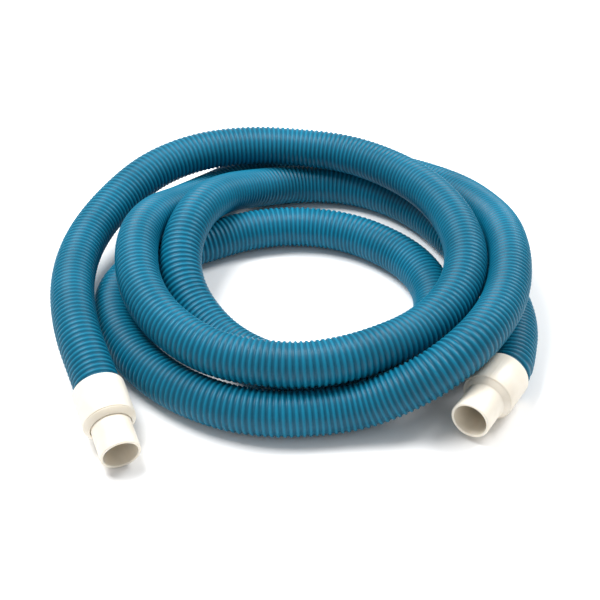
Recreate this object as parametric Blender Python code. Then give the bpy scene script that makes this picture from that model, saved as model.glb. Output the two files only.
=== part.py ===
"""Pool vacuum hose lying in a loose coil, with a swivel cuff and a fixed cuff.

Metres throughout. +Z is up and the coil lies on the plane z = 0.
"""

from math import atan2, cos, degrees, floor, radians, sin, tau

import bmesh
import bpy
from mathutils import Vector

for leftover in list(bpy.data.objects):
    bpy.data.objects.remove(leftover, do_unlink=True)

MM = 0.001

# Hose: a wound, ribbed wall.
HOSE_CREST_D = 0.046
HOSE_RIB_HEIGHT = 0.0015
HOSE_MEAN_D = HOSE_CREST_D - HOSE_RIB_HEIGHT
HOSE_BORE_D = 0.038
HOSE_SEAT = 0.030
HOSE_LEAD = 0.014

# Cuffs: a sleeve over the hose, a shoulder and a nozzle.
SLEEVE_WALL = 0.0026
SHOULDER_LENGTH = 0.006
NOZZLE_LENGTH = 0.033
NOZZLE_BORE_D = 0.033
NOZZLE_WALL = 0.0033
EDGE_BREAK = 0.0010
MOUTH_BREAK = 0.0004

# Swivel inside the first cuff.
STOP_WALL = 0.003
CHAMBER_WALL = 0.0019
SEAL_THICKNESS = 0.001
SEAL_WIDTH = 0.004
FLANGE_REACH = 0.0037
FLANGE_THICKNESS = 0.003
RING_DEPTH = 0.0028

# Clearances.
SEAT_GAP = 0.0003
POCKET_GAP = 0.0003
JOINT_GAP = 0.0003
FLANGE_GAP = 0.0004
BARREL_GAP = 0.0006

# Where the coil and its ends lie: (degrees, radius) about the coil centre.
COIL_CENTRE = Vector((0.0091, -0.0227, 0.0))
SWIVEL_FACE_AT = (221.4, 0.2596)
SWIVEL_HEADING = -68.2
SWIVEL_DIP = 12.0
FIXED_FACE_AT = (-1114.0, 0.2452)
FIXED_HEADING = -122.0
FIXED_DIP = 0.0

TURNED_SEGMENTS = 36
STATIONS_PER_TURN = 20
CURVE_STEPS = 12

# The hose's centre line from the swivel cuff to the fixed cuff, clockwise from
# above: degrees about the coil centre, radius in mm, height in mm.
ROUTE = (
    # Off the swivel cuff, up the left side and across the top of the far side.
    (206, 246, 49), (195, 242, 52), (180, 242, 52), (165, 245, 54),
    (150, 247, 61), (135, 249, 71), (120, 248, 75), (105, 244, 73),
    (90, 238, 69), (75, 229, 69), (60, 214, 70), (45, 200, 72),
    # Down the right and round the inner front, lying on the lower turns.
    (30, 188, 74), (15, 180, 75), (0, 176, 74), (-15, 173, 71),
    (-30, 169, 68), (-45, 166, 65), (-60, 164, 65), (-75, 165, 64),
    (-90, 167, 63), (-105, 167, 62), (-120, 168.5, 61), (-135, 168.5, 62.5),
    # Up the left over two turns, then down under the first turn at the far side.
    (-150, 169.5, 65.5), (-165, 171, 69), (-180, 174, 72), (-195, 180.5, 72),
    (-210, 188, 64), (-225, 201, 46), (-240, 226, 30), (-255, 255, 23.5),
    (-270, 276, 23), (-285, 284, 23), (-300, 279, 25), (-315, 267, 35),
    # Over the last turn and the fixed cuff on the right.
    (-330, 248, 49), (-345, 232, 64), (-360, 223, 70), (-375, 220, 71),
    (-390, 220, 73), (-402, 220, 70), (-412, 214, 57), (-422, 203, 40),
    # Along the outer front on the floor.
    (-432, 194, 27), (-442, 190.5, 23), (-455, 193, 23), (-465, 195, 23),
    (-480, 196, 23), (-495, 197, 23), (-510, 198, 23), (-525, 200, 23),
    (-540, 199, 23), (-555, 185, 23), (-570, 162, 23), (-585, 145, 23),
    # Inside on the floor: far side, right, and under the front turn.
    (-600, 139, 23), (-615, 135, 23), (-630, 133, 23), (-645, 132, 23),
    (-660, 132, 23), (-675, 133, 23), (-690, 137, 23), (-705, 141, 23),
    (-720, 145, 23), (-735, 147, 23), (-750, 146, 23), (-765, 142, 23),
    (-780, 138, 23), (-795, 134, 23), (-810, 129, 23), (-825, 122, 23),
    # Up the inner left, over two turns and down at the far side.
    (-840, 116, 23), (-855, 113, 24), (-870, 115, 30), (-885, 121, 40),
    (-900, 128, 53), (-915, 133, 64), (-930, 140, 71), (-945, 153, 70),
    (-960, 175, 57), (-975, 203, 37), (-990, 226, 24), (-1005, 231, 23),
    # Along the right on the floor and out to the fixed cuff.
    (-1020, 226, 23), (-1035, 216, 23), (-1050, 207, 23), (-1065, 209, 23),
    (-1080, 222, 23), (-1090, 230, 23), (-1098, 235.5, 24), (-1105, 239.5, 26),
)


def coil_point(angle: float, radius: float, height: float) -> Vector:
    """Point at an angle in degrees, a radius and a height about the coil centre."""
    turn = radians(angle)
    return COIL_CENTRE + Vector((radius * cos(turn), radius * sin(turn), height))


def axis_of(heading: float, dip: float) -> Vector:
    """Unit direction from a heading and a downward dip, both in degrees."""
    level = cos(radians(dip))
    turn = radians(heading)
    return Vector((level * cos(turn), level * sin(turn), -sin(radians(dip))))


def smooth_route(points: list[Vector]) -> list[Vector]:
    """Smooth curve through points, kept from sinking below the resting height."""
    spans = [(b - a).length for a, b in zip(points, points[1:])]
    slopes = [(b - a) / span for a, b, span in zip(points, points[1:], spans)]
    tangents = [slopes[0]]
    for before, after, near, far in zip(slopes, slopes[1:], spans, spans[1:]):
        tangents.append((before * far + after * near) / (near + far))
    tangents.append(slopes[-1])
    curve = []
    for i, span in enumerate(spans):
        for step in range(CURVE_STEPS):
            u = step / CURVE_STEPS
            p = points[i] * (2 * u**3 - 3 * u**2 + 1)
            p += tangents[i] * (span * (u**3 - 2 * u**2 + u))
            p += points[i + 1] * (3 * u**2 - 2 * u**3)
            p += tangents[i + 1] * (span * (u**3 - u**2))
            curve.append(p)
    curve.append(points[-1])
    rest = HOSE_CREST_D / 2
    return [Vector((p.x, p.y, max(p.z, rest))) for p in curve]


def stations(curve: list[Vector]) -> list[Vector]:
    """Points where the curve crosses equally spaced spokes of the coil."""
    spoke = 360 / STATIONS_PER_TURN
    picked = []
    for a, b in zip(curve, curve[1:]):
        start = a - COIL_CENTRE
        end = b - COIL_CENTRE
        bearing = degrees(atan2(start.y, start.x))
        cross = start.x * end.y - start.y * end.x
        swept = degrees(atan2(cross, start.x * end.x + start.y * end.y))
        passed = floor(bearing / spoke) * spoke
        if swept < 0 and bearing + swept <= passed:
            picked.append(a.lerp(b, (passed - bearing) / swept))
    return picked


def finish(name: str, colour: tuple[float, float, float], roughness: float):
    """Plain plastic finish."""
    made = bpy.data.materials.new(name)
    made.use_nodes = True
    shader = made.node_tree.nodes["Principled BSDF"]
    shader.inputs["Base Color"].default_value = (*colour, 1.0)
    shader.inputs["Roughness"].default_value = roughness
    shader.inputs["Metallic"].default_value = 0.0
    return made


def cuff_axis(name: str, face: Vector, axis: Vector):
    """Empty on a cuff's hose-side face, its +Z running out through the mouth."""
    empty = bpy.data.objects.new(name, None)
    empty.location = face
    empty.rotation_euler = axis.to_track_quat("Z", "Y").to_euler()
    bpy.context.collection.objects.link(empty)
    return empty


def turned(name: str, section: list[tuple[float, float]], parent, surface):
    """Ring turned about its parent's +Z from a closed (radius, height) section."""
    shape = bmesh.new()
    corners = [shape.verts.new((radius, 0.0, height)) for radius, height in section]
    edges = [shape.edges.new(pair) for pair in zip(corners, corners[1:] + corners[:1])]
    bmesh.ops.spin(
        shape,
        geom=corners + edges,
        cent=(0.0, 0.0, 0.0),
        axis=(0.0, 0.0, 1.0),
        angle=tau,
        steps=TURNED_SEGMENTS,
        use_merge=True,
    )
    bmesh.ops.remove_doubles(shape, verts=shape.verts, dist=0.00001)
    bmesh.ops.recalc_face_normals(shape, faces=shape.faces)
    mesh = bpy.data.meshes.new(name)
    shape.to_mesh(mesh)
    shape.free()
    mesh.shade_smooth()
    mesh.set_sharp_from_angle(angle=radians(30))
    mesh.materials.append(surface)
    made = bpy.data.objects.new(name, mesh)
    made.parent = parent
    bpy.context.collection.objects.link(made)
    return made


def hose_tube(name: str, points: list[Vector], surface):
    """Round tube with capped ends along a list of points."""
    data = bpy.data.curves.new(name, "CURVE")
    data.dimensions = "3D"
    data.bevel_depth = HOSE_MEAN_D / 2
    data.bevel_resolution = 4
    data.use_fill_caps = True
    line = data.splines.new("POLY")
    line.points.add(len(points) - 1)
    for slot, point in zip(line.points, points):
        slot.co = (*point, 1.0)
    line.use_smooth = True
    data.materials.append(surface)
    made = bpy.data.objects.new(name, data)
    bpy.context.collection.objects.link(made)
    return made


hose_teal = finish("hose_teal", (0.003, 0.125, 0.215), 0.42)
cuff_ivory = finish("cuff_ivory", (0.860, 0.815, 0.725), 0.45)
ring_ivory = finish("ring_ivory", (0.800, 0.750, 0.650), 0.50)
seal_black = finish("seal_black", (0.030, 0.030, 0.030), 0.70)

# Radii, shared by both cuffs.
bore_r = NOZZLE_BORE_D / 2
nozzle_r = bore_r + NOZZLE_WALL
flange_r = nozzle_r + FLANGE_REACH
chamber_r = flange_r + FLANGE_GAP
pocket_r = HOSE_CREST_D / 2 + POCKET_GAP
sleeve_r = max(pocket_r + SLEEVE_WALL, chamber_r + CHAMBER_WALL)

# Stations along a cuff, from its hose-side face to its mouth.
pocket_end = HOSE_SEAT + SEAT_GAP
chamber_start = pocket_end + STOP_WALL
seal_start = chamber_start + JOINT_GAP
flange_start = seal_start + SEAL_THICKNESS + JOINT_GAP
flange_end = flange_start + FLANGE_THICKNESS
ring_start = flange_end + JOINT_GAP
sleeve_end = ring_start + RING_DEPTH
shoulder_end = sleeve_end + SHOULDER_LENGTH
mouth = shoulder_end + NOZZLE_LENGTH

# Cuff axes. The swivel cuff rests on the edge of its mouth; the fixed one lies flat.
swivel_direction = axis_of(SWIVEL_HEADING, SWIVEL_DIP)
swivel_height = nozzle_r * cos(radians(SWIVEL_DIP)) + mouth * sin(radians(SWIVEL_DIP))
swivel_face = coil_point(*SWIVEL_FACE_AT, swivel_height)
fixed_direction = axis_of(FIXED_HEADING, FIXED_DIP)
fixed_face = coil_point(*FIXED_FACE_AT, sleeve_r)
swivel_axis = cuff_axis("swivel_cuff_axis", swivel_face, swivel_direction)
fixed_axis = cuff_axis("fixed_cuff_axis", fixed_face, fixed_direction)

# Hose, seated in both cuffs.
swivel_end = [
    swivel_face + swivel_direction * HOSE_SEAT,
    swivel_face,
    swivel_face - swivel_direction * HOSE_LEAD,
]
fixed_end = [
    fixed_face - fixed_direction * HOSE_LEAD,
    fixed_face,
    fixed_face + fixed_direction * HOSE_SEAT,
]
between = [coil_point(angle, radius * MM, height * MM) for angle, radius, height in ROUTE]
centre_line = smooth_route(swivel_end[1:] + between + fixed_end[:2])
lie = [
    point
    for point in stations(centre_line)
    if (point - swivel_face).length > 2 * HOSE_LEAD
    and (point - fixed_face).length > 2 * HOSE_LEAD
]
hose_tube("hose_wall", swivel_end + lie + fixed_end, hose_teal)

# Fixed cuff, moulded in one piece.
turned(
    "fixed_cuff",
    [
        (pocket_r + EDGE_BREAK, 0.0),
        (sleeve_r - EDGE_BREAK, 0.0),
        (sleeve_r, EDGE_BREAK),
        (sleeve_r, sleeve_end - EDGE_BREAK),
        (sleeve_r - EDGE_BREAK, sleeve_end),
        (nozzle_r + EDGE_BREAK, shoulder_end - EDGE_BREAK),
        (nozzle_r, shoulder_end),
        (nozzle_r, mouth - MOUTH_BREAK),
        (nozzle_r - MOUTH_BREAK, mouth),
        (bore_r + MOUTH_BREAK, mouth),
        (bore_r, mouth - MOUTH_BREAK),
        (bore_r, pocket_end),
        (pocket_r, pocket_end),
        (pocket_r, EDGE_BREAK),
    ],
    fixed_axis,
    cuff_ivory,
)

# Swivel cuff: sleeve, seal, turning nozzle and the ring that keeps it in.
turned(
    "swivel_sleeve",
    [
        (pocket_r + EDGE_BREAK, 0.0),
        (sleeve_r - EDGE_BREAK, 0.0),
        (sleeve_r, EDGE_BREAK),
        (sleeve_r, sleeve_end),
        (chamber_r, sleeve_end),
        (chamber_r, chamber_start),
        (HOSE_BORE_D / 2, chamber_start),
        (HOSE_BORE_D / 2, pocket_end),
        (pocket_r, pocket_end),
        (pocket_r, EDGE_BREAK),
    ],
    swivel_axis,
    cuff_ivory,
)

seal_outer_r = chamber_r - JOINT_GAP
turned(
    "swivel_seal_ring",
    [
        (seal_outer_r - SEAL_WIDTH, seal_start),
        (seal_outer_r, seal_start),
        (seal_outer_r, seal_start + SEAL_THICKNESS),
        (seal_outer_r - SEAL_WIDTH, seal_start + SEAL_THICKNESS),
    ],
    swivel_axis,
    seal_black,
)

turned(
    "swivel_nozzle",
    [
        (bore_r, flange_start),
        (flange_r, flange_start),
        (flange_r, flange_end),
        (nozzle_r, flange_end),
        (nozzle_r, mouth - MOUTH_BREAK),
        (nozzle_r - MOUTH_BREAK, mouth),
        (bore_r + MOUTH_BREAK, mouth),
        (bore_r, mouth - MOUTH_BREAK),
    ],
    swivel_axis,
    cuff_ivory,
)

ring_bore_r = nozzle_r + BARREL_GAP
ring_lip = sleeve_end + JOINT_GAP
turned(
    "swivel_retaining_ring",
    [
        (ring_bore_r, ring_start),
        (chamber_r - JOINT_GAP, ring_start),
        (chamber_r - JOINT_GAP, ring_lip),
        (sleeve_r, ring_lip),
        (sleeve_r, ring_lip + EDGE_BREAK),
        (ring_bore_r + EDGE_BREAK, shoulder_end),
        (ring_bore_r, shoulder_end),
    ],
    swivel_axis,
    ring_ivory,
)
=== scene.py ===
"""Pool vacuum hose in a loose coil: wound EVA hose, a swivel cuff and a fixed cuff.

Everything is in metres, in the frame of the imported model.
"""

from __future__ import annotations

import logging
import math
from dataclasses import dataclass, field
from enum import Enum

import bpy
import numpy as np
from mathutils import Matrix, Vector

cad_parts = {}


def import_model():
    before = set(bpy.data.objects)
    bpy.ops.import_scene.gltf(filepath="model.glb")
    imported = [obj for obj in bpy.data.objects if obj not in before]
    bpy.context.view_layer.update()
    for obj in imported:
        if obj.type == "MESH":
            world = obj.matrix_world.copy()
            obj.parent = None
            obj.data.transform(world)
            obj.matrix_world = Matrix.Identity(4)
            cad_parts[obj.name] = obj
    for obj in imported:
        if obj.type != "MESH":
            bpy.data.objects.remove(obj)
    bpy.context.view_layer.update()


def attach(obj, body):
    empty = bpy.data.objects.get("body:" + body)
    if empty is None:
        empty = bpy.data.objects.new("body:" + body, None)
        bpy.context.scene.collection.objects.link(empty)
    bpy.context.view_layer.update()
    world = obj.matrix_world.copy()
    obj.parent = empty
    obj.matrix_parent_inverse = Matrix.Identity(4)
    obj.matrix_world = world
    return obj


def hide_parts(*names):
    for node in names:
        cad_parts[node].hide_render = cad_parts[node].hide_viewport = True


log = logging.getLogger("vacuum_hose")

Section = list[tuple[float, float]]

# The hose's centre line from the swivel cuff to the fixed cuff, clockwise from
# above: degrees about the coil centre, radius in metres, height in metres.
COIL_CENTRE = Vector((0.0091, -0.0227, 0.0))
ROUTE: tuple[tuple[float, float, float], ...] = (
    # Off the swivel cuff, up the left side and across the top of the far side.
    (206, 0.246, 0.049), (195, 0.242, 0.052), (180, 0.242, 0.052), (165, 0.245, 0.054),
    (150, 0.247, 0.061), (135, 0.249, 0.071), (120, 0.248, 0.075), (105, 0.244, 0.073),
    (90, 0.238, 0.069), (75, 0.229, 0.069), (60, 0.214, 0.07), (45, 0.2, 0.072),
    # Down the right and round the inner front, lying on the lower turns.
    (30, 0.188, 0.074), (15, 0.18, 0.075), (0, 0.176, 0.074), (-15, 0.173, 0.071),
    (-30, 0.169, 0.068), (-45, 0.166, 0.065), (-60, 0.164, 0.065), (-75, 0.165, 0.064),
    (-90, 0.167, 0.063), (-105, 0.167, 0.062), (-120, 0.1685, 0.061), (-135, 0.1685, 0.0625),
    # Up the left over two turns, then down under the first turn at the far side.
    (-150, 0.1695, 0.0655), (-165, 0.171, 0.069), (-180, 0.174, 0.072), (-195, 0.1805, 0.072),
    (-210, 0.188, 0.064), (-225, 0.201, 0.046), (-240, 0.226, 0.03), (-255, 0.255, 0.0235),
    (-270, 0.276, 0.023), (-285, 0.284, 0.023), (-300, 0.279, 0.025), (-315, 0.267, 0.035),
    # Over the last turn and the fixed cuff on the right.
    (-330, 0.248, 0.049), (-345, 0.232, 0.064), (-360, 0.223, 0.07), (-375, 0.22, 0.071),
    (-390, 0.22, 0.073), (-402, 0.22, 0.07), (-412, 0.214, 0.057), (-422, 0.203, 0.04),
    # Along the outer front on the floor.
    (-432, 0.194, 0.027), (-442, 0.1905, 0.023), (-455, 0.193, 0.023), (-465, 0.195, 0.023),
    (-480, 0.196, 0.023), (-495, 0.197, 0.023), (-510, 0.198, 0.023), (-525, 0.2, 0.023),
    (-540, 0.199, 0.023), (-555, 0.185, 0.023), (-570, 0.162, 0.023), (-585, 0.145, 0.023),
    # Inside on the floor: far side, right, and under the front turn.
    (-600, 0.139, 0.023), (-615, 0.135, 0.023), (-630, 0.133, 0.023), (-645, 0.132, 0.023),
    (-660, 0.132, 0.023), (-675, 0.133, 0.023), (-690, 0.137, 0.023), (-705, 0.141, 0.023),
    (-720, 0.145, 0.023), (-735, 0.147, 0.023), (-750, 0.146, 0.023), (-765, 0.142, 0.023),
    (-780, 0.138, 0.023), (-795, 0.134, 0.023), (-810, 0.129, 0.023), (-825, 0.122, 0.023),
    # Up the inner left, over two turns and down at the far side.
    (-840, 0.116, 0.023), (-855, 0.113, 0.024), (-870, 0.115, 0.03), (-885, 0.121, 0.04),
    (-900, 0.128, 0.053), (-915, 0.133, 0.064), (-930, 0.14, 0.071), (-945, 0.153, 0.07),
    (-960, 0.175, 0.057), (-975, 0.203, 0.037), (-990, 0.226, 0.024), (-1005, 0.231, 0.023),
    # Along the right on the floor and out to the fixed cuff.
    (-1020, 0.226, 0.023), (-1035, 0.216, 0.023), (-1050, 0.207, 0.023), (-1065, 0.209, 0.023),
    (-1080, 0.222, 0.023), (-1090, 0.23, 0.023), (-1098, 0.2355, 0.024), (-1105, 0.2395, 0.026),
)


class Body(Enum):
    """Rigid bodies of the hose."""

    HOSE = "hose"
    NOZZLE = "nozzle"


class Slot(Enum):
    """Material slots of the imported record."""

    HOSE = "hose"
    CUFF = "cuff"
    RING = "ring"
    SEAL = "seal"


def linear(hex_colour: str) -> tuple[float, float, float, float]:
    """Turn an sRGB hex colour into linear light.

    Args:
        hex_colour: Six hex digits, red first.

    Returns:
        Linear red, green and blue, and an alpha of one.
    """
    channels = [int(hex_colour[i : i + 2], 16) / 255 for i in (0, 2, 4)]
    return (*(c / 12.92 if c <= 0.04045 else ((c + 0.055) / 1.055) ** 2.4 for c in channels), 1.0)


def add_node(
    tree: bpy.types.NodeTree,
    kind: str,
    settings: dict[str, object] | None = None,
    inputs: dict[str | int, object] | None = None,
) -> bpy.types.Node:
    """Add a shader node with its settings, input values and links.

    Args:
        tree: Node tree of the material or world.
        kind: Blender's name of the node's class.
        settings: Attributes of the node itself.
        inputs: Socket name or number, with its value or the socket that feeds it.

    Returns:
        The new node.
    """
    node = tree.nodes.new(kind)
    for key, value in (settings or {}).items():
        setattr(node, key, value)
    for key, value in (inputs or {}).items():
        if isinstance(value, bpy.types.NodeSocket):
            tree.links.new(value, node.inputs[key])
        else:
            node.inputs[key].default_value = value
    return node


def ramp(node: bpy.types.Node, stops: list[tuple[float, str]]) -> bpy.types.Node:
    """Set a colour ramp's stops.

    Args:
        node: The colour ramp node.
        stops: Position and sRGB hex colour of each stop, in rising order.

    Returns:
        The same node.
    """
    band = node.color_ramp
    while len(band.elements) < len(stops):
        band.elements.new(1.0)
    for element, (position, colour) in zip(band.elements, stops):
        element.position = position
        element.color = linear(colour)
    return node


def blank_material(name: str) -> tuple[bpy.types.Material, bpy.types.NodeTree, bpy.types.Node]:
    """Start a material with a lone Principled shader.

    Args:
        name: Name of the material.

    Returns:
        The material, its node tree and its Principled shader.
    """
    material = bpy.data.materials.new(name)
    material.use_nodes = True
    tree = material.node_tree
    return material, tree, tree.nodes["Principled BSDF"]


@dataclass(frozen=True)
class WoundEva:
    """Ethylene-vinyl acetate strip, extruded, wound hot and welded to itself.

    Dyed through in teal blue. The crests are painted lighter, a painted highlight, and
    the grooves darker, painted shade. Depths are in metres.
    """

    crest_painted_highlight: str = "0b7391"
    body: str = "08627f"
    groove_painted_shade: str = "065670"
    chalk: str = "3b8fa3"
    roughness: tuple[float, float] = (0.34, 0.48)
    flank: float = 0.55
    cloud_mm: float = 70.0
    drift: tuple[float, float] = (0.86, 1.12)
    scuff_mm: float = 9.0
    chalk_share: float = 0.35
    skin_depth: float = 0.00025
    streak_mm: float = 1.2
    streak_draw: float = 40.0
    streak_depth: float = 0.00012
    ior: float = 1.48
    specular: float = 0.24

    def build(self) -> bpy.types.Material:
        """Make the material.

        Returns:
            The finished material.
        """
        material, tree, shader = blank_material("wound_eva_teal")
        where = add_node(tree, "ShaderNodeTexCoord")
        lay = add_node(tree, "ShaderNodeUVMap", {"uv_map": "lay"})
        rise = add_node(tree, "ShaderNodeAttribute", {"attribute_name": "rib_rise"})
        # The teal dye by rib height: painted highlight on the crests, painted shade in the grooves.
        dye_with_painted_rib_light = ramp(
            add_node(tree, "ShaderNodeValToRGB", inputs={0: rise.outputs["Fac"]}),
            [(0.0, self.groove_painted_shade), (self.flank, self.body), (1.0, self.crest_painted_highlight)],
        )
        # Slow drift of the dye along the strip, a hand's breadth across.
        cloud = add_node(
            tree,
            "ShaderNodeTexNoise",
            inputs={"Vector": where.outputs["Object"], "Scale": 1000 / self.cloud_mm, "Detail": 3.0},
        )
        drift = add_node(
            tree,
            "ShaderNodeMapRange",
            inputs={
                "Value": cloud.outputs["Fac"],
                "From Min": 0.3,
                "From Max": 0.7,
                "To Min": self.drift[0],
                "To Max": self.drift[1],
            },
        )
        toned = add_node(
            tree,
            "ShaderNodeHueSaturation",
            inputs={"Color": dye_with_painted_rib_light.outputs["Color"], "Value": drift.outputs["Result"]},
        )
        # Chalky scuffs where crests have rubbed on the pool's edge.
        scuff = add_node(
            tree,
            "ShaderNodeTexNoise",
            inputs={
                "Vector": where.outputs["Object"],
                "Scale": 1000 / self.scuff_mm,
                "Detail": 6.0,
                "Roughness": 0.65,
            },
        )
        rubbed = add_node(
            tree,
            "ShaderNodeMapRange",
            inputs={
                "Value": scuff.outputs["Fac"],
                "From Min": 0.60,
                "From Max": 0.78,
                "To Min": 0.0,
                "To Max": self.chalk_share,
            },
        )
        on_crest = add_node(
            tree,
            "ShaderNodeMath",
            {"operation": "MULTIPLY"},
            {0: rubbed.outputs["Result"], 1: rise.outputs["Fac"]},
        )
        worn_with_painted_rib_light = add_node(
            tree,
            "ShaderNodeMix",
            {"data_type": "RGBA"},
            {0: on_crest.outputs[0], 6: toned.outputs["Color"], 7: linear(self.chalk)},
        )
        tree.links.new(worn_with_painted_rib_light.outputs[2], shader.inputs["Base Color"])
        # Fine drag lines of the extrusion die, which run round the hose with the strip.
        stretched = add_node(
            tree,
            "ShaderNodeMapping",
            inputs={
                "Vector": lay.outputs["UV"],
                "Scale": (1000 / (self.streak_mm * self.streak_draw), 1000 / self.streak_mm, 1.0),
            },
        )
        streak = add_node(
            tree,
            "ShaderNodeTexNoise",
            inputs={"Vector": stretched.outputs["Vector"], "Scale": 1.0, "Detail": 2.0},
        )
        gloss = add_node(
            tree,
            "ShaderNodeMapRange",
            inputs={
                "Value": scuff.outputs["Fac"],
                "From Min": 0.3,
                "From Max": 0.75,
                "To Min": self.roughness[0],
                "To Max": self.roughness[1],
            },
        )
        tree.links.new(gloss.outputs["Result"], shader.inputs["Roughness"])
        fine = add_node(
            tree,
            "ShaderNodeBump",
            inputs={
                "Height": streak.outputs["Fac"],
                "Strength": 0.25,
                "Distance": self.streak_depth,
            },
        )
        skin = add_node(
            tree,
            "ShaderNodeBump",
            inputs={
                "Height": scuff.outputs["Fac"],
                "Normal": fine.outputs["Normal"],
                "Strength": 0.30,
                "Distance": self.skin_depth,
            },
        )
        tree.links.new(skin.outputs["Normal"], shader.inputs["Normal"])
        shader.inputs["IOR"].default_value = self.ior
        shader.inputs["Specular IOR Level"].default_value = self.specular
        return material


@dataclass(frozen=True)
class MouldedPlastic:
    """Injection-moulded plastic with a fine spark-eroded grain and a parting line.

    Satin and warm white. Light bleeds through its milky wall, so its shaded side and
    the mouth of its bore stay bright. Depths are in metres.
    """

    name: str
    colour: str
    warm: str
    bore_shade: str
    roughness: tuple[float, float] = (0.34, 0.46)
    tint_mm: float = 30.0
    bore_shade_share: float = 0.12
    grain_mm: float = 0.8
    grain_depth: float = 0.0001
    parting_mm: float = 0.5
    parting_depth: float = 0.0002
    radius_mm: float = 23.0
    ior: float = 1.53
    milkiness: float = 0.2
    bleed: tuple[float, float, float] = (1.0, 0.9, 0.7)
    bleed_depth: float = 0.004

    def build(self) -> bpy.types.Material:
        """Make the material.

        Returns:
            The finished material.
        """
        material, tree, shader = blank_material(self.name)
        where = add_node(tree, "ShaderNodeTexCoord")
        lay = add_node(tree, "ShaderNodeUVMap", {"uv_map": "turn"})
        # Slight yellowing in soft patches, as sun and pool water leave it.
        tint = add_node(
            tree,
            "ShaderNodeTexNoise",
            inputs={"Vector": where.outputs["Object"], "Scale": 1000 / self.tint_mm, "Detail": 3.0},
        )
        aged = ramp(
            add_node(tree, "ShaderNodeValToRGB", inputs={0: tint.outputs["Fac"]}),
            [(0.30, self.colour), (0.75, self.warm)],
        )
        grain = add_node(
            tree,
            "ShaderNodeTexNoise",
            inputs={
                "Vector": where.outputs["Object"],
                "Scale": 1000 / self.grain_mm,
                "Detail": 2.0,
                "Roughness": 0.6,
            },
        )
        # Painted shade darkens the inside of the bore, which the mesh marks.
        bore = add_node(tree, "ShaderNodeAttribute", {"attribute_name": "inside"})
        bore_shade_amount = add_node(
            tree,
            "ShaderNodeMath",
            {"operation": "MULTIPLY"},
            {0: bore.outputs["Fac"], 1: self.bore_shade_share},
        )
        bore_shaded = add_node(
            tree,
            "ShaderNodeMix",
            {"data_type": "RGBA"},
            {0: bore_shade_amount.outputs[0], 6: aged.outputs["Color"], 7: linear(self.bore_shade)},
        )
        tree.links.new(bore_shaded.outputs[2], shader.inputs["Base Color"])
        gloss = add_node(
            tree,
            "ShaderNodeMapRange",
            inputs={
                "Value": tint.outputs["Fac"],
                "From Min": 0.3,
                "From Max": 0.7,
                "To Min": self.roughness[0],
                "To Max": self.roughness[1],
            },
        )
        tree.links.new(gloss.outputs["Result"], shader.inputs["Roughness"])
        # Where the two mould halves met: a hairline down each side.
        split = add_node(tree, "ShaderNodeSeparateXYZ", inputs={0: lay.outputs["UV"]})
        half = add_node(
            tree,
            "ShaderNodeMath",
            {"operation": "PINGPONG"},
            {0: split.outputs["X"], 1: 0.5},
        )
        away = add_node(
            tree,
            "ShaderNodeMath",
            {"operation": "SUBTRACT"},
            {0: half.outputs[0], 1: 0.25},
        )
        off = add_node(tree, "ShaderNodeMath", {"operation": "ABSOLUTE"}, {0: away.outputs[0]})
        width = self.parting_mm / (2 * math.pi * self.radius_mm)
        line = add_node(
            tree,
            "ShaderNodeMapRange",
            inputs={
                "Value": off.outputs[0],
                "From Min": 0.0,
                "From Max": width,
                "To Min": 1.0,
                "To Max": 0.0,
            },
        )
        seam = add_node(
            tree,
            "ShaderNodeBump",
            inputs={
                "Height": line.outputs["Result"],
                "Strength": 0.5,
                "Distance": self.parting_depth,
            },
        )
        texture = add_node(
            tree,
            "ShaderNodeBump",
            inputs={
                "Height": grain.outputs["Fac"],
                "Normal": seam.outputs["Normal"],
                "Strength": 0.12,
                "Distance": self.grain_depth,
            },
        )
        tree.links.new(texture.outputs["Normal"], shader.inputs["Normal"])
        shader.inputs["IOR"].default_value = self.ior
        shader.inputs["Subsurface Weight"].default_value = self.milkiness
        shader.inputs["Subsurface Radius"].default_value = self.bleed
        shader.inputs["Subsurface Scale"].default_value = self.bleed_depth
        return material


@dataclass(frozen=True)
class SealRubber:
    """EPDM rubber, stamped from sheet: matt black with a bloom of talc."""

    colour: str = "17181a"
    bloom: str = "3a3c3f"
    speck_mm: float = 1.5
    speck_depth: float = 0.0001
    roughness: float = 0.78

    def build(self) -> bpy.types.Material:
        """Make the material.

        Returns:
            The finished material.
        """
        material, tree, shader = blank_material("epdm_seal_black")
        where = add_node(tree, "ShaderNodeTexCoord")
        speck = add_node(
            tree,
            "ShaderNodeTexNoise",
            inputs={"Vector": where.outputs["Object"], "Scale": 1000 / self.speck_mm, "Detail": 4.0},
        )
        dusted = ramp(
            add_node(tree, "ShaderNodeValToRGB", inputs={0: speck.outputs["Fac"]}),
            [(0.45, self.colour), (0.8, self.bloom)],
        )
        tree.links.new(dusted.outputs["Color"], shader.inputs["Base Color"])
        rough = add_node(
            tree,
            "ShaderNodeBump",
            inputs={
                "Height": speck.outputs["Fac"],
                "Strength": 0.3,
                "Distance": self.speck_depth,
            },
        )
        tree.links.new(rough.outputs["Normal"], shader.inputs["Normal"])
        shader.inputs["Roughness"].default_value = self.roughness
        return material


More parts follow.
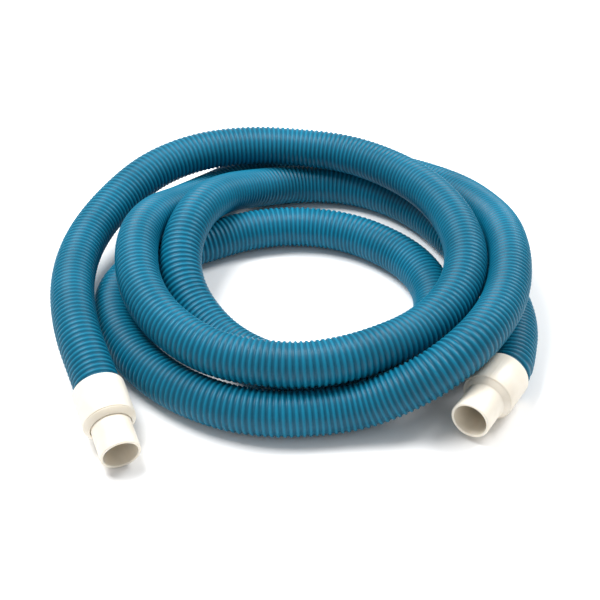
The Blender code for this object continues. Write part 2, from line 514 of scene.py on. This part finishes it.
@dataclass(frozen=True)
class SweepFloor:
    """Matt white paper sweep under the hose."""

    colour: str = "fafafa"
    tooth_mm: float = 2.0
    tooth_depth: float = 0.0002
    roughness: float = 0.9
    specular: float = 0.1

    def build(self) -> bpy.types.Material:
        """Make the material.

        Returns:
            The finished material.
        """
        material, tree, shader = blank_material("paper_sweep")
        where = add_node(tree, "ShaderNodeTexCoord")
        tooth = add_node(
            tree,
            "ShaderNodeTexNoise",
            inputs={"Vector": where.outputs["Object"], "Scale": 1000 / self.tooth_mm, "Detail": 2.0},
        )
        felt = add_node(
            tree,
            "ShaderNodeBump",
            inputs={
                "Height": tooth.outputs["Fac"],
                "Strength": 0.05,
                "Distance": self.tooth_depth,
            },
        )
        tree.links.new(felt.outputs["Normal"], shader.inputs["Normal"])
        shader.inputs["Base Color"].default_value = linear(self.colour)
        shader.inputs["Roughness"].default_value = self.roughness
        shader.inputs["Specular IOR Level"].default_value = self.specular
        return material


@dataclass(frozen=True)
class CuffPlace:
    """Where a cuff's hose-side face lies and which way its mouth points.

    Angle, radius and height are about the coil's centre. Heading is the compass turn
    of the mouth from +X and dip is how far it points down, both in degrees.
    """

    angle: float
    radius: float
    height: float
    heading: float
    dip: float

    def face(self) -> Vector:
        """Centre of the hose-side face."""
        return coil_point(self.angle, self.radius, self.height)

    def axis(self) -> Vector:
        """Find the way the mouth points.

        Returns:
            Unit direction from the hose-side face out through the mouth.
        """
        level = math.cos(math.radians(self.dip))
        turn = math.radians(self.heading)
        return Vector(
            (level * math.cos(turn), level * math.sin(turn), -math.sin(math.radians(self.dip)))
        )

    def matrix(self) -> Matrix:
        """Frame whose +Z runs out through the mouth."""
        turned = self.axis().to_track_quat("Z", "Y").to_matrix().to_4x4()
        return Matrix.Translation(self.face()) @ turned


def coil_point(angle: float, radius: float, height: float) -> Vector:
    """Point about the coil centre.

    Args:
        angle: Degrees about the coil centre.
        radius: Distance from the coil's axis.
        height: Height above the floor.

    Returns:
        The point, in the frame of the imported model.
    """
    turn = math.radians(angle)
    return COIL_CENTRE + Vector((radius * math.cos(turn), radius * math.sin(turn), height))


def select_only(piece: bpy.types.Object) -> None:
    """Deselect everything but one piece, and make it active.

    Args:
        piece: The piece to work on.
    """
    bpy.ops.object.select_all(action="DESELECT")
    piece.select_set(True)
    bpy.context.view_layer.objects.active = piece


def clear_selection() -> None:
    """Deselect every object before a primitive is added."""
    if bpy.context.object and bpy.context.object.mode != "OBJECT":
        bpy.ops.object.mode_set(mode="OBJECT")
    bpy.ops.object.select_all(action="DESELECT")


def dress(
    piece: bpy.types.Object, finish: bpy.types.Material, body: Body, node: str
) -> None:
    """Give a piece its material and body, in place of a CAD node.

    Args:
        piece: The finished piece.
        finish: Its material.
        body: The body it rides on.
        node: The CAD node that it stands for.
    """
    piece.data.materials.clear()
    piece.data.materials.append(finish)
    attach(piece, body.value)
    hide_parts(node)


@dataclass
class TurnedShell:
    """A round shell drawn ring by ring from a hoop, then closed, rounded and placed."""

    name: str
    section: Section
    place: Matrix
    edge_radius: float
    bore_radius: float = 0.0
    bore_margin: float = 0.0002
    segments: int = 96
    edge_segments: int = 3
    rounded_degrees: float = 28.0
    crease_degrees: float = 35.0
    merge_distance: float = 0.000005

    def build(self) -> bpy.types.Object:
        """Draw the shell.

        Returns:
            The finished piece, with its place in its mesh.
        """
        clear_selection()
        radius, height = self.section[0]
        bpy.ops.mesh.primitive_circle_add(
            vertices=self.segments, radius=radius, fill_type="NOTHING", location=(0.0, 0.0, 0.0)
        )
        piece = bpy.context.object
        piece.name = self.name
        piece.data.name = self.name
        bpy.ops.object.mode_set(mode="EDIT")
        bpy.ops.mesh.select_mode(type="EDGE")
        bpy.ops.mesh.select_all(action="SELECT")
        bpy.ops.transform.translate(value=(0.0, 0.0, height))
        for next_radius, next_height in self.section[1:]:
            bpy.ops.mesh.extrude_edges_move(
                TRANSFORM_OT_translate={"value": (0.0, 0.0, next_height - height)}
            )
            scale = next_radius / radius
            bpy.ops.transform.resize(value=(scale, scale, 1.0), center_override=(0.0, 0.0, next_height))
            radius, height = next_radius, next_height
        self._close()
        bpy.ops.object.mode_set(mode="OBJECT")
        self._round_edges(piece)
        self._mark(piece)
        select_only(piece)
        piece.matrix_world = self.place
        bpy.ops.object.transform_apply(location=True, rotation=True, scale=True)
        log.info("%s: %d faces", piece.name, len(piece.data.polygons))
        return piece

    def _close(self) -> None:
        """Bridge the last ring to the first and turn the faces outwards."""
        bpy.ops.mesh.select_all(action="DESELECT")
        bpy.ops.mesh.select_non_manifold(
            extend=False,
            use_wire=True,
            use_boundary=True,
            use_multi_face=False,
            use_non_contiguous=False,
            use_verts=False,
        )
        bpy.ops.mesh.bridge_edge_loops()
        bpy.ops.mesh.select_all(action="SELECT")
        bpy.ops.mesh.remove_doubles(threshold=self.merge_distance)
        bpy.ops.mesh.normals_make_consistent(inside=False)

    def _round_edges(self, piece: bpy.types.Object) -> None:
        """Round every corner that the mould rounds, and shade the shell smooth.

        Args:
            piece: The closed shell.
        """
        select_only(piece)
        bevel = piece.modifiers.new("moulded_edges", "BEVEL")
        bevel.width = self.edge_radius
        bevel.segments = self.edge_segments
        bevel.limit_method = "ANGLE"
        bevel.angle_limit = math.radians(self.rounded_degrees)
        bpy.ops.object.modifier_apply(modifier=bevel.name)
        bpy.ops.object.shade_smooth_by_angle(angle=math.radians(self.crease_degrees))

    def _mark(self, piece: bpy.types.Object) -> None:
        """Lay a turn-and-height map on the shell and mark the wall of its bore.

        Args:
            piece: The finished shell, still about the Z axis.
        """
        mesh = piece.data
        uv = mesh.uv_layers.active or mesh.uv_layers.new(name="turn")
        uv.name = "turn"
        for polygon in mesh.polygons:
            centre = math.atan2(polygon.center.y, polygon.center.x) / math.tau
            for loop in polygon.loop_indices:
                spot = mesh.vertices[mesh.loops[loop].vertex_index].co
                turn = math.atan2(spot.y, spot.x) / math.tau
                turn += round(centre - turn)
                uv.data[loop].uv = (turn + 1.0, spot.z)
        inside = mesh.attributes.new("inside", "FLOAT", "POINT")
        for vertex, value in zip(mesh.vertices, inside.data):
            reach = math.hypot(vertex.co.x, vertex.co.y)
            value.value = 1.0 if reach < self.bore_radius + self.bore_margin else 0.0


@dataclass
class HoseLie:
    """The hose's centre line, from its seat in the swivel cuff to that in the fixed cuff.

    It runs straight for the depth of each seat and for a short lead outside the cuff,
    and never lies lower than its height at rest on the floor.
    """

    swivel: CuffPlace
    fixed: CuffPlace
    seat: float = 0.030
    lead: float = 0.014
    rest: float = 0.023
    step: float = 0.002
    easing_passes: int = 60

    def line(self) -> np.ndarray:
        """Evenly spaced points along the smooth centre line.

        Returns:
            Array of points, `step` apart.
        """
        start, end = self.swivel, self.fixed
        points = [
            start.face() + start.axis() * self.seat,
            start.face(),
            start.face() - start.axis() * self.lead,
            *(coil_point(*spot) for spot in ROUTE),
            end.face() - end.axis() * self.lead,
            end.face(),
            end.face() + end.axis() * self.seat,
        ]
        curve = self._evenly(self._blend(np.array(points)))
        keep = int(round((self.seat + self.lead) / self.step))
        for _ in range(self.easing_passes):
            eased = curve.copy()
            eased[1:-1] = (curve[:-2] + 2 * curve[1:-1] + curve[2:]) / 4
            eased[:keep], eased[-keep:] = curve[:keep], curve[-keep:]
            curve = eased
        curve[:, 2] = np.maximum(curve[:, 2], self.rest)
        return self._evenly(curve)

    def _evenly(self, curve: np.ndarray) -> np.ndarray:
        """Space points evenly along a curve.

        Args:
            curve: Points along it.

        Returns:
            New points along it, about `step` apart.
        """
        along = np.r_[0.0, np.cumsum(np.linalg.norm(np.diff(curve, axis=0), axis=1))]
        wanted = np.linspace(0.0, along[-1], int(round(along[-1] / self.step)) + 1)
        return np.stack([np.interp(wanted, along, curve[:, k]) for k in range(3)], axis=1)

    def _blend(self, points: np.ndarray) -> np.ndarray:
        """Draw a smooth curve through the route's points.

        Args:
            points: Points that the hose passes through.

        Returns:
            Closely spaced points along the curve.
        """
        spans = np.linalg.norm(np.diff(points, axis=0), axis=1)
        slopes = np.diff(points, axis=0) / spans[:, None]
        inner = (slopes[:-1] * spans[1:, None] + slopes[1:] * spans[:-1, None]) / (
            spans[1:] + spans[:-1]
        )[:, None]
        tangents = np.vstack([slopes[:1], inner, slopes[-1:]])
        pieces = []
        for i, span in enumerate(spans):
            u = np.linspace(0.0, 1.0, max(3, int(span / self.step)), endpoint=False)[:, None]
            pieces.append(
                points[i] * (2 * u**3 - 3 * u**2 + 1)
                + tangents[i] * (span * (u**3 - 2 * u**2 + u))
                + points[i + 1] * (3 * u**2 - 2 * u**3)
                + tangents[i + 1] * (span * (u**3 - u**2))
            )
        return np.vstack([*pieces, points[-1:]])


@dataclass
class WoundHose:
    """Ribbed hose: one strip wound into a helix, each turn welded to the last.

    The profile gives the strip's section: place across one pitch, and rib height from
    0 in the groove to 1 on the crest.
    """

    lie: HoseLie
    crest_radius: float = 0.0230
    groove_radius: float = 0.0215
    bore_radius: float = 0.0190
    pitch: float = 0.0058
    steps_per_turn: int = 23
    bore_step: float = 0.024
    fade_turns: int = 2
    merge_distance: float = 0.000002
    profile: Section = field(
        default_factory=lambda: [(0.0, 0.0), (0.34, 0.0), (0.46, 0.74), (0.67, 1.0), (0.88, 0.74)]
    )

    def build(self) -> bpy.types.Object:
        """Returns:
            The hose as one closed mesh.
        """
        line = self.lie.line()
        length = float(np.linalg.norm(np.diff(line, axis=0), axis=1).sum())
        vertices, rise, lay = self._wind(line, length)
        mesh = bpy.data.meshes.new("hose")
        mesh.from_pydata(vertices.tolist(), [], self._faces(length))
        mesh.update()
        shown = mesh.attributes.new("rib_rise", "FLOAT", "POINT")
        shown.data.foreach_set("value", rise.astype(np.float32))
        uv = mesh.uv_layers.new(name="lay")
        corners = np.empty(len(mesh.loops), dtype=np.int32)
        mesh.loops.foreach_get("vertex_index", corners)
        uv.data.foreach_set("uv", lay[corners].astype(np.float32).ravel())
        mesh.shade_smooth()
        piece = bpy.data.objects.new("hose", mesh)
        bpy.context.collection.objects.link(piece)
        select_only(piece)
        bpy.ops.object.mode_set(mode="EDIT")
        bpy.ops.mesh.select_all(action="SELECT")
        bpy.ops.mesh.remove_doubles(threshold=self.merge_distance)
        bpy.ops.mesh.normals_make_consistent(inside=False)
        bpy.ops.object.mode_set(mode="OBJECT")
        dress(piece, WoundEva().build(), Body.HOSE, "hose_wall")
        log.info("hose: %.3f m, %d faces", length, len(mesh.polygons))
        return piece

    def declare(self) -> None:
        """Work out the hose's centre line again, which nothing then uses.
        """
        line = self.lie.line()

    def _frames(self, line: np.ndarray) -> tuple[np.ndarray, np.ndarray]:
        """Carry two directions across the hose along it, without twist.

        Args:
            line: The centre line.

        Returns:
            Sideways and upward unit directions at each point.
        """
        ahead = np.gradient(line, axis=0)
        ahead /= np.linalg.norm(ahead, axis=1)[:, None]
        side = np.cross(ahead[0], (0.0, 0.0, 1.0))
        side /= np.linalg.norm(side)
        sides = [side]
        for tangent in ahead[1:]:
            side = side - tangent * float(side @ tangent)
            side = side / np.linalg.norm(side)
            sides.append(side)
        across = np.array(sides)
        return across, np.cross(ahead, across)

    def _wind(self, line: np.ndarray, length: float) -> tuple[np.ndarray, np.ndarray, np.ndarray]:
        """Lay the strip's profile round and round, with a plain bore inside it.

        The first and last turns are cut off square, so rows past an end lie on its edge,
        and the ribs sink into the wall towards the cut.

        Args:
            line: The centre line.
            length: Its length.

        Returns:
            Points, each point's rib height from 0 to 1, and its (round, along) map.
        """
        n, turns = self.steps_per_turn, self._turns(length)
        pitch = length / turns
        step = np.arange(self._steps(length))
        fractions = np.array([place for place, _ in self.profile])
        heights = np.array([height for _, height in self.profile])
        strip_s = np.clip(((step / n - 1)[:, None] + fractions) * pitch, 0.0, length)
        fade = np.clip(np.minimum(strip_s, length - strip_s) / (self.fade_turns * pitch), 0.0, 1.0)
        strip_t = np.repeat((step % n)[:, None], len(fractions), axis=1) / n * math.tau
        rings = self._bore_rings(length)
        s = np.concatenate([strip_s.ravel(), np.repeat(np.linspace(0.0, length, rings), n)])
        theta = np.concatenate([strip_t.ravel(), np.tile(np.arange(n) / n * math.tau, rings)])
        rise = np.concatenate([(fade * heights).ravel(), np.zeros(rings * n)])
        radius = self.groove_radius + rise * (self.crest_radius - self.groove_radius)
        radius[strip_s.size :] = self.bore_radius
        along = np.linspace(0.0, length, len(line))
        across, up = self._frames(line)
        middle, side, top = (
            np.stack([np.interp(s, along, carried[:, k]) for k in range(3)], axis=1)
            for carried in (line, across, up)
        )
        outward = np.cos(theta)[:, None] * side + np.sin(theta)[:, None] * top
        points = middle + radius[:, None] * outward
        return points, rise, np.stack([theta * self.crest_radius, s], axis=1)

    def _turns(self, length: float) -> int:
        """Turns of the strip in the whole hose."""
        return int(round(length / self.pitch))

    def _steps(self, length: float) -> int:
        """Winding steps, with a spare turn past each end."""
        return self.steps_per_turn * (self._turns(length) + 2) + 2

    def _bore_rings(self, length: float) -> int:
        """Rings of points along the bore."""
        return int(length / self.bore_step) + 1

    def _faces(self, length: float) -> list[list[int]]:
        """Faces of the strip, the two cut ends and the bore.

        Args:
            length: Length of the centre line.

        Returns:
            Lists of point numbers.
        """
        n, m = self.steps_per_turn, len(self.profile)
        steps, rings = self._steps(length), self._bore_rings(length)
        step, row = (grid.ravel() for grid in np.meshgrid(np.arange(steps - n - 1), np.arange(m)))
        near = step * m + row
        far = np.where(row == m - 1, (step + n) * m, near + 1)
        faces = np.stack([near, far, far + m, near + m], axis=1).tolist()
        bore = steps * m
        final = bore + (rings - 1) * n
        for j in range(n):
            k = (j + 1) % n
            end_j, end_k = ((steps - n + (i - steps) % n) * m for i in (j, k))
            faces.append([j * m, bore + j, bore + k, k * m])
            faces.append([end_j, end_k, final + k, final + j])
            for ring in range(bore, final, n):
                faces.append([ring + j, ring + n + j, ring + n + k, ring + k])
        return faces


@dataclass
class Cuff:
    """What both cuffs share: a sleeve with a pocket for the hose, and a tapered nozzle.

    Lengths run from the hose-side face. A rounding or a lead-in is given as how far it
    reaches across the wall and how far along it.
    """

    place: CuffPlace
    sleeve_radius: float = 0.0259
    sleeve_length: float = 0.0410
    sleeve_lip: Section = field(
        default_factory=lambda: [(0.0012, 0.0), (0.0003, 0.0004), (0.0, 0.0014)]
    )
    pocket_radius: float = 0.0233
    pocket_depth: float = 0.0303
    pocket_lead: float = 0.0010
    nozzle_radius: float = 0.0198
    bore_radius: float = 0.0165
    bore_lead: tuple[float, float] = (0.0004, 0.0010)
    mouth: float = 0.0800
    rounding: tuple[float, float] = (0.0006, 0.0008)
    draft: float = 0.0002

    def hose_side(self) -> Section:
        """Draw the hose-side face, from the pocket out to the sleeve's side.

        Returns:
            Radius and height of each ring.
        """
        lip = [(self.sleeve_radius - inward, along) for inward, along in self.sleeve_lip]
        return [(self.pocket_radius + self.pocket_lead, 0.0), *lip]

    def pocket(self) -> Section:
        """Draw the pocket's floor and wall, back to its lead-in."""
        return [(self.pocket_radius, self.pocket_depth), (self.pocket_radius, self.pocket_lead)]

    def nozzle_mouth(self) -> Section:
        """Draw the nozzle's mouth, from its outer side in to its bore.

        Returns:
            Radius and height of each ring.
        """
        across, along = self.rounding
        outer = self.nozzle_radius - self.draft
        inner = self.bore_radius + self.draft
        return [
            (outer, self.mouth - along),
            (outer - across, self.mouth),
            (inner + across, self.mouth),
            (inner, self.mouth - along),
        ]

    def shell(
        self, name: str, section: Section, edge: float, bore_radius: float = 0.0
    ) -> bpy.types.Object:
        """Turn one piece about the cuff's axis.

        Args:
            name: Name of the piece.
            section: Radius and height of each ring.
            edge: Radius of its moulded edges.
            bore_radius: Radius of the bore whose wall is painted darker as shade, if it has one.

        Returns:
            The piece, in its place.
        """
        return TurnedShell(name, section, self.place.matrix(), edge, bore_radius).build()


@dataclass
class FixedCuff(Cuff):
    """Cuff moulded in one piece, screwed onto the far end of the hose."""

    shoulder_length: float = 0.0060
    sleeve_roll: Section = field(
        default_factory=lambda: [(0.0, 0.0016), (0.0005, 0.0005), (0.0016, 0.0)]
    )
    shoulder_fillet: Section = field(
        default_factory=lambda: [(0.0016, -0.0014), (0.0005, -0.0005), (0.0, 0.0008)]
    )
    edge: float = 0.0004

    def build(self, finish: bpy.types.Material) -> bpy.types.Object:
        """Mould the cuff.

        Args:
            finish: Material of the moulding.

        Returns:
            The cuff.
        """
        lead_across, lead_along = self.bore_lead
        sleeve, shoulder = self.sleeve_length, self.sleeve_length + self.shoulder_length
        section = [
            *self.hose_side(),
            *((self.sleeve_radius - inward, sleeve - back) for inward, back in self.sleeve_roll),
            *((self.nozzle_radius + out, shoulder + on) for out, on in self.shoulder_fillet),
            *self.nozzle_mouth(),
            (self.bore_radius, self.pocket_depth + lead_along),
            (self.bore_radius + lead_across, self.pocket_depth),
            *self.pocket(),
        ]
        bore = self.bore_radius + self.draft
        piece = self.shell("fixed_cuff_moulding", section, self.edge, bore)
        dress(piece, finish, Body.HOSE, "fixed_cuff")
        return piece


@dataclass
class SwivelCuff(Cuff):
    """Sleeve on the hose, and a nozzle that turns in it behind a snapped-in ring."""

    stop_radius: float = 0.0190
    chamber_radius: float = 0.0239
    chamber_start: float = 0.0333
    seal_radii: tuple[float, float] = (0.0196, 0.0236)
    seal_span: tuple[float, float] = (0.0336, 0.0346)
    flange_radius: float = 0.0235
    flange_span: tuple[float, float] = (0.0349, 0.0379)
    ring_bore_radius: float = 0.0204
    ring_start: float = 0.0382
    ring_end: float = 0.0470
    rim_roll: Section = field(
        default_factory=lambda: [(0.0007, 0.0), (0.0002, 0.0005), (0.0007, 0.0014)]
    )
    nose_roll: Section = field(
        default_factory=lambda: [(0.0012, 0.0004), (0.0006, 0.0), (0.0, 0.0003)]
    )
    gap: float = 0.0003
    edge: float = 0.0002
    seal_edge: float = 0.0001

    def build(
        self, moulding: bpy.types.Material, clip: bpy.types.Material, rubber: bpy.types.Material
    ) -> list[bpy.types.Object]:
        """Build the cuff's pieces.

        Args:
            moulding: Material of the sleeve and the nozzle.
            clip: Material of the retaining ring.
            rubber: Material of the seal.

        Returns:
            Sleeve, seal, nozzle and ring.
        """
        return [
            self._sleeve(moulding),
            self._seal(rubber),
            self._nozzle(moulding),
            self._ring(clip),
        ]

    def _sleeve(self, finish: bpy.types.Material) -> bpy.types.Object:
        """Mould the sleeve that grips the hose and houses the swivel.

        Args:
            finish: Material of the moulding.

        Returns:
            The sleeve.
        """
        across, along = self.rounding
        section = [
            *self.hose_side(),
            (self.sleeve_radius, self.sleeve_length - along),
            (self.sleeve_radius - across, self.sleeve_length),
            (self.chamber_radius, self.sleeve_length),
            (self.chamber_radius, self.chamber_start),
            (self.stop_radius, self.chamber_start),
            (self.stop_radius, self.pocket_depth),
            *self.pocket(),
        ]
        piece = self.shell("swivel_sleeve_moulding", section, self.edge, self.stop_radius)
        dress(piece, finish, Body.HOSE, "swivel_sleeve")
        return piece

    def _seal(self, finish: bpy.types.Material) -> bpy.types.Object:
        """Stamp the flat washer between the sleeve's stop and the nozzle's flange.

        Args:
            finish: Material of the washer.

        Returns:
            The seal.
        """
        (inner, outer), (start, end) = self.seal_radii, self.seal_span
        section = [(inner, start), (outer, start), (outer, end), (inner, end)]
        piece = self.shell("swivel_seal_washer", section, self.seal_edge)
        dress(piece, finish, Body.HOSE, "swivel_seal_ring")
        return piece

    def _nozzle(self, finish: bpy.types.Material) -> bpy.types.Object:
        """Mould the turning nozzle with its flange.

        Args:
            finish: Material of the moulding.

        Returns:
            The nozzle.
        """
        start, end = self.flange_span
        lead_across, lead_along = self.bore_lead
        section = [
            (self.bore_radius + lead_across, start),
            (self.flange_radius, start),
            (self.flange_radius, end),
            (self.nozzle_radius, end),
            *self.nozzle_mouth(),
            (self.bore_radius, start + lead_along),
        ]
        bore = self.bore_radius + self.draft
        piece = self.shell("swivel_nozzle_moulding", section, self.edge, bore)
        dress(piece, finish, Body.NOZZLE, "swivel_nozzle")
        return piece

    def _ring(self, finish: bpy.types.Material) -> bpy.types.Object:
        """Mould the ring that snaps into the sleeve and keeps the flange in.

        Args:
            finish: Material of the ring.

        Returns:
            The ring.
        """
        rim = self.sleeve_length + self.gap
        outer = self.chamber_radius - self.gap
        bore, end = self.ring_bore_radius, self.ring_end
        section = [
            (bore, self.ring_start),
            (outer, self.ring_start),
            (outer, rim),
            *((self.sleeve_radius - inward, rim + on) for inward, on in self.rim_roll),
            *((bore + out, end - back) for out, back in self.nose_roll),
        ]
        piece = self.shell("swivel_retaining_clip", section, self.edge)
        dress(piece, finish, Body.HOSE, "swivel_retaining_ring")
        return piece


@dataclass(frozen=True)
class SoftBox:
    """Square soft light, aimed at the middle of the coil on the floor."""

    name: str
    spot: tuple[float, float, float]
    size: float
    watts: float

    def hang(self) -> None:
        """Hang the light."""
        data = bpy.data.lights.new(self.name, "AREA")
        data.size = self.size
        data.energy = self.watts
        piece = bpy.data.objects.new(self.name, data)
        piece.location = self.spot
        aim = COIL_CENTRE - Vector(self.spot)
        piece.rotation_euler = aim.to_track_quat("-Z", "Y").to_euler()
        bpy.context.collection.objects.link(piece)


@dataclass
class Studio:
    """White sweep, broad soft lights and the camera."""

    target: Vector = field(default_factory=lambda: COIL_CENTRE + Vector((0.0, -0.02, 0.03)))
    distance: float = 1.28
    elevation: float = 37.0
    lens_mm: float = 71.8
    sensor_mm: float = 36.0
    floor_size: float = 8.0
    floor_height: float = -0.0002
    room_strength: float = 0.50
    boxes: tuple[SoftBox, ...] = (
        SoftBox("right_box", (1.10, 0.55, 1.35), 0.7, 22.0),
        SoftBox("left_box", (-0.70, 0.25, 1.60), 0.9, 36.0),
    )

    def camera(self) -> None:
        """Place the camera."""
        tilt = math.radians(self.elevation)
        data = bpy.data.cameras.new("camera")
        data.lens = self.lens_mm
        data.sensor_width = self.sensor_mm
        piece = bpy.data.objects.new("camera", data)
        piece.location = self.target + self.distance * Vector((0.0, -math.cos(tilt), math.sin(tilt)))
        piece.rotation_euler = (self.target - piece.location).to_track_quat("-Z", "Y").to_euler()
        bpy.context.collection.objects.link(piece)
        bpy.context.scene.camera = piece

    def floor(self) -> None:
        """Lay the white sweep."""
        clear_selection()
        bpy.ops.mesh.primitive_plane_add(
            size=self.floor_size, location=(0.0, 0.0, self.floor_height)
        )
        piece = bpy.context.object
        piece.name = "sweep_floor"
        piece.data.materials.append(SweepFloor().build())

    def lights(self) -> None:
        """Hang the soft boxes and lighten the room."""
        for box in self.boxes:
            box.hang()
        world = bpy.data.worlds.new("studio_room")
        world.use_nodes = True
        back = world.node_tree.nodes["Background"]
        back.inputs["Color"].default_value = (1.0, 1.0, 1.0, 1.0)
        back.inputs["Strength"].default_value = self.room_strength
        bpy.context.scene.world = world
        bpy.context.scene.view_settings.view_transform = "Standard"


def main() -> None:
    """Build the scene in order: camera, hose, cuffs, then the studio."""
    logging.basicConfig(level=logging.INFO, format="%(message)s")
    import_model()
    studio = Studio()
    studio.camera()
    swivel_place = CuffPlace(angle=221.4, radius=0.2596, height=0.0360, heading=-68.2, dip=12.0)
    fixed_place = CuffPlace(angle=-1114.0, radius=0.2452, height=0.0259, heading=-122.0, dip=0.0)
    hose = WoundHose(HoseLie(swivel_place, fixed_place))
    wound = hose.build()
    ivory = MouldedPlastic("moulded_pvc_ivory", "f0e9dc", "e6dccb", "c6bba3").build()
    # The ring's ivory is a little greyer than the sleeve's: painted shade of the step between sleeve
    # and nozzle.
    clip = MouldedPlastic("moulded_acetal_ivory_painted_shade", "ebe3d4", "e0d6c3", "c6bba3").build()
    swivel = SwivelCuff(swivel_place).build(ivory, clip, SealRubber().build())
    fixed = FixedCuff(fixed_place).build(ivory)
    hose.declare()
    studio.floor()
    studio.lights()


if __name__ == "__main__":
    main()
